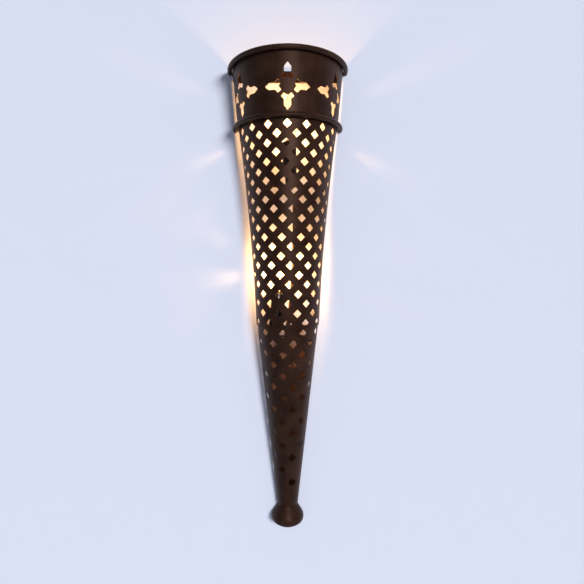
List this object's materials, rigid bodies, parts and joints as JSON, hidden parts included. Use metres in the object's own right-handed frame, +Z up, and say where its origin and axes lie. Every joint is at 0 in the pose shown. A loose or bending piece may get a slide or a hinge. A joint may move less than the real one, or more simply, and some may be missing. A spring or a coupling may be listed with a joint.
{
  "type": "torch sconce",
  "caption": "Half-round tapering wall sconce of punched dark metal: pierced collar between round rods, diamond-perforated cone, ball finial, and two candle bulbs one above the other.",
  "frame": {"origin": "centre of the back face of the top wall strap, on the wall plane", "axes": "+Z up, +Y into the wall, +X to the right along the wall as seen from the room"},
  "size_m": [0.2004, 0.1002, 0.7633],
  "materials": {
    "brass": "plain brass",
    "bronze": "dark oil-rubbed bronze, satin",
    "connector": "moulded plastic",
    "copper": "bare copper",
    "filament": "glowing tungsten",
    "glass": "clear glass",
    "hot": "black wire insulation",
    "insulator": "black glass",
    "neutral": "white wire insulation",
    "sleeving": "braided glass sleeving, brown",
    "socket": "black phenolic",
    "solder": "solder",
    "steel": "zinc-plated steel"
  },
  "bodies": {
    "sconce": {"collar_band": "bronze", "collar_rod": "bronze", "finial": "bronze", "finial_nut": "steel", "finial_stud": "steel", "foot_plate": "bronze", "ground_screw": "brass", "ground_wire": "copper", "lower_centre_contact": "brass", "lower_hot_wire": "hot", "lower_neutral_wire": "neutral", "lower_nipple": "steel", "lower_nipple_nut": "steel", "lower_perforated_cone": "bronze", "lower_screw_shell": "brass", "lower_socket_body": "socket", "lower_socket_shelf": "bronze", "strap_rivets": "bronze", "top_rim_rod": "bronze", "top_wall_strap": "bronze", "upper_centre_contact": "brass", "upper_hot_wire": "hot", "upper_neutral_wire": "neutral", "upper_nipple": "steel", "upper_nipple_nut": "steel", "upper_perforated_cone": "bronze", "upper_screw_shell": "brass", "upper_socket_body": "socket", "upper_socket_shelf": "bronze", "wire_connectors": "connector", "wire_sleeve": "sleeving"},
    "upper_tip": {"upper_bulb_tip": "solder"},
    "lower_tip": {"lower_bulb_tip": "solder"},
    "upper_bulb": {"upper_bulb_glass": "glass", "upper_bulb_base": "brass", "upper_bulb_insulator": "insulator", "upper_bulb_stem": "glass", "upper_bulb_leads": "solder", "upper_bulb_filament": "filament"},
    "lower_bulb": {"lower_bulb_glass": "glass", "lower_bulb_base": "brass", "lower_bulb_insulator": "insulator", "lower_bulb_stem": "glass", "lower_bulb_leads": "solder", "lower_bulb_filament": "filament"}
  },
  "joints": [
    {"name": "upper_bulb_travel", "type": "slide", "parent": "sconce", "child": "upper_tip", "axis": [0, 0, 1], "range_m": [0, 0.0103]},
    {"name": "upper_bulb_turn", "type": "hinge", "parent": "upper_tip", "child": "upper_bulb", "pos_m": [0.003, -0.037, -0.1185], "axis": [0, 0, 1], "range_deg": [0, 1440]},
    {"name": "lower_bulb_travel", "type": "slide", "parent": "sconce", "child": "lower_tip", "axis": [0.0872, 0, 0.9962], "range_m": [0, 0.0103]},
    {"name": "lower_bulb_turn", "type": "hinge", "parent": "lower_tip", "child": "lower_bulb", "pos_m": [-0.0144, -0.029, -0.359], "axis": [0.0872, 0, 0.9962], "range_deg": [0, 1440]}
  ],
  "couplings": [
    {"joint": "upper_bulb_travel", "follows": "upper_bulb_turn", "m_per_rad": 0.00040425},
    {"joint": "lower_bulb_travel", "follows": "lower_bulb_turn", "m_per_rad": 0.00040425}
  ]
}
